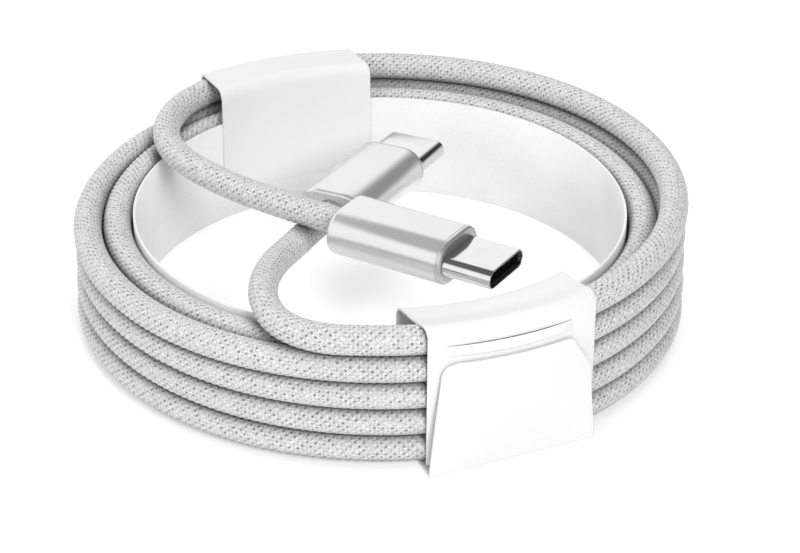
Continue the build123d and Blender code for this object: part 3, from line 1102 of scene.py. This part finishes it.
@dataclass
class Studio:
    """A white light table among white walls, with a darker ceiling, one open side and two soft lights."""

    floor: str = "#CFCFCF"
    floor_size: float = 8000.0     # mm
    glow: float = 0.44             # of the light table itself
    wall: float = 1.18             # brightness of the white walls all round
    wall_top: float = 0.68         # sine of the height at which the walls end
    ceiling: float = 0.15          # brightness of the open ceiling above them
    ceiling_start: float = 0.86    # sine of the height from which there is only ceiling
    open_side: float = 0.04        # share of that brightness left towards +X, where the room is open
    open_start: float = 0.2        # how far towards +X the opening starts, and where it is whole
    open_whole: float = 0.6
    lights: tuple[SoftLight, ...] = (
        SoftLight("key", azimuth=-66.0, elevation=35.0, size=200.0, power=2.05),
        SoftLight("overhead", azimuth=90.0, elevation=82.0, size=420.0, power=1.75),
    )

    def hang(self, light: SoftLight) -> None:
        """Hang one soft light so that it faces the ring. Glossy surfaces mirror only the walls."""
        data = bpy.data.lights.new(light.name, "AREA")
        data.size = mm(light.size)
        data.energy = light.power
        lamp = bpy.data.objects.new(light.name, data)
        lift, turn = radians(light.elevation), radians(light.azimuth)
        out = Vector((cos(lift) * cos(turn), cos(lift) * sin(turn), sin(lift)))
        lamp.location = out * mm(light.distance)
        lamp.rotation_euler = out.to_track_quat("Z", "Y").to_euler()
        lamp.visible_glossy = False
        bpy.context.scene.collection.objects.link(lamp)

    def build_world(self) -> None:
        """White walls under a darker ceiling, open towards +X."""
        world = bpy.data.worlds.new("studio")
        world.use_nodes = True
        tree = world.node_tree
        direction = add_node(tree, "TexCoord")
        way = add_node(tree, "SeparateXYZ", {"Vector": direction.outputs["Generated"]})
        level = add_node(tree, "MapRange", {
            "Value": way.outputs["Z"], "From Min": self.wall_top, "From Max": self.ceiling_start,
            "To Min": self.wall, "To Max": self.ceiling,
        }, interpolation_type="SMOOTHSTEP")
        side = add_node(tree, "MapRange", {
            "Value": way.outputs["X"], "From Min": self.open_start, "From Max": self.open_whole,
            "To Min": 1.0, "To Max": self.open_side,
        }, interpolation_type="SMOOTHSTEP")
        both = add_node(tree, "Math", {0: level, 1: side}, operation="MULTIPLY")
        set_inputs(tree.nodes["Background"], {"Color": WHITE, "Strength": both})
        bpy.context.scene.world = world

    def build(self) -> None:
        """Make the floor, the lights and the walls."""
        half = mm(self.floor_size / 2)
        corners = [(-half, -half, 0), (half, -half, 0), (half, half, 0), (-half, half, 0)]
        floor = add_mesh("floor", corners, [(0, 1, 2, 3)])
        material, _, shader = new_material("white_table")
        set_inputs(shader, {
            "Base Color": colour(self.floor), "Roughness": 1.0, "Specular IOR Level": 0.0,
            "Emission Color": WHITE, "Emission Strength": self.glow,
        })
        dress(floor, material)
        self.build_world()
        for light in self.lights:
            self.hang(light)
        bpy.context.scene.view_settings.view_transform = "Standard"


@dataclass
class Insides:
    """What each plug holds, which keeps its CAD shape and gets its finish here."""

    plugs: tuple[str, ...] = ("upper_plug", "lower_plug")

    def finishes(self) -> dict[str, bpy.types.Material]:
        """The finish of each inner piece, by its name without the plug's."""
        gold = SheetMetal("gold_plated_copper", "#E9C46A", "#D9AE52", roughness=0.2).make()
        spring = SheetMetal("spring_steel", "#C9C9C7", "#B5B5B3", roughness=0.25).make()
        tin = SheetMetal("tinned_steel", "#D0D0CE", "#BDBDBB", roughness=0.3).make()
        polymer = Moulding("black_liquid_crystal_polymer", "#141415", "#0E0E0F", roughness=0.45).make()
        board = Moulding("solder_mask", "#1F5A3A", "#184A30", roughness=0.35, coat=0.3).make()
        chip = Moulding("epoxy_moulding_compound", "#2A2A2C", "#222224", roughness=0.6).make()
        jacket = Moulding("white_elastomer_jacket", "#D8D8D6", "#CECECC", roughness=0.5).make()
        return {
            "insulator": polymer, "top_contacts": gold, "bottom_contacts": gold, "left_latch": spring,
            "right_latch": spring, "ground_springs": spring, "mid_plate": spring, "solder_tails": gold,
            "board": board, "board_parts": chip, "shield_can": tin, "crimp_ferrule": tin,
            "conductors": jacket,
        }

    def dress(self) -> list[str]:
        """Give each inner piece its finish.

        Returns:
            The inner pieces' names, without the plug's.
        """
        finishes = self.finishes()
        for plug in self.plugs:
            for part, finish in finishes.items():
                dress(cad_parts[f"{plug}_{part}"], finish)
        return list(finishes)


def main() -> None:
    """Build the cable in order and report each piece."""
    Camera().build()
    cord_maker = Cord()
    cord, line, length = cord_maker.build()
    dress(cord, BraidedPolyester().make())
    place(cord, "root", Slot.BRAID, "cord_coil", "cord_tail_upper", "cord_tail_lower")
    log.info("cord: %.0f mm long", length * 1000)

    lacquer = PearlLacquer("pearl_lacquered_polycarbonate").make()
    # The cap takes a darker copy of the body's lacquer: painted shade for its front face, which is the same
    # white plastic.
    cap_shaded_lacquer = PearlLacquer("pearl_lacquered_cap_painted_shade", light="#CCCCCC", dark="#C6C6C6").make()
    steel = SheetMetal("drawn_stainless_steel", "#E4E4E4", "#D9D9D9", roughness=0.12).make()
    plugs = (
        Plug("upper_plug", cord_maker.upper_tail[0], yaw=-30.4, roll=-2.0),
        Plug("lower_plug", cord_maker.lower_tail[-1], yaw=60.4, roll=-3.2),
    )
    for plug in plugs:
        plug.build_body(lacquer)
        plug.build_cap(cap_shaded_lacquer)
        plug.build_shell(steel)
    inner = Insides().dress()
    on_cord = [f"{plugs[1].name}_{part}" for part in ("moulded_body", "front_cap", "drawn_shell", *inner)]

    wrap_card = PulpCard("calendered_card").make()
    # The band's card is drawn lighter than the wraps': painted light for the ring's inside, where less light
    # falls.
    band_card = PulpCard(
        "uncoated_card_lightened", light="#E6E6E5", dark="#DADAD9", roughness=0.85, relief=0.02,
    ).make()
    wraps = (
        PaperWrap(Wrap.FRONT, crease=16.65, sag=0.25, shift=-0.7),
        PaperWrap(Wrap.REAR, crease=18.15, sag=0.0, top=17.35, corner=1.5),
    )
    for wrap in wraps:
        wrap.build_top_strap(wrap_card)
        wrap.build_base_strap(wrap_card)
    RingBand().build(band_card)

    Studio().build()


if __name__ == "__main__":
    main()
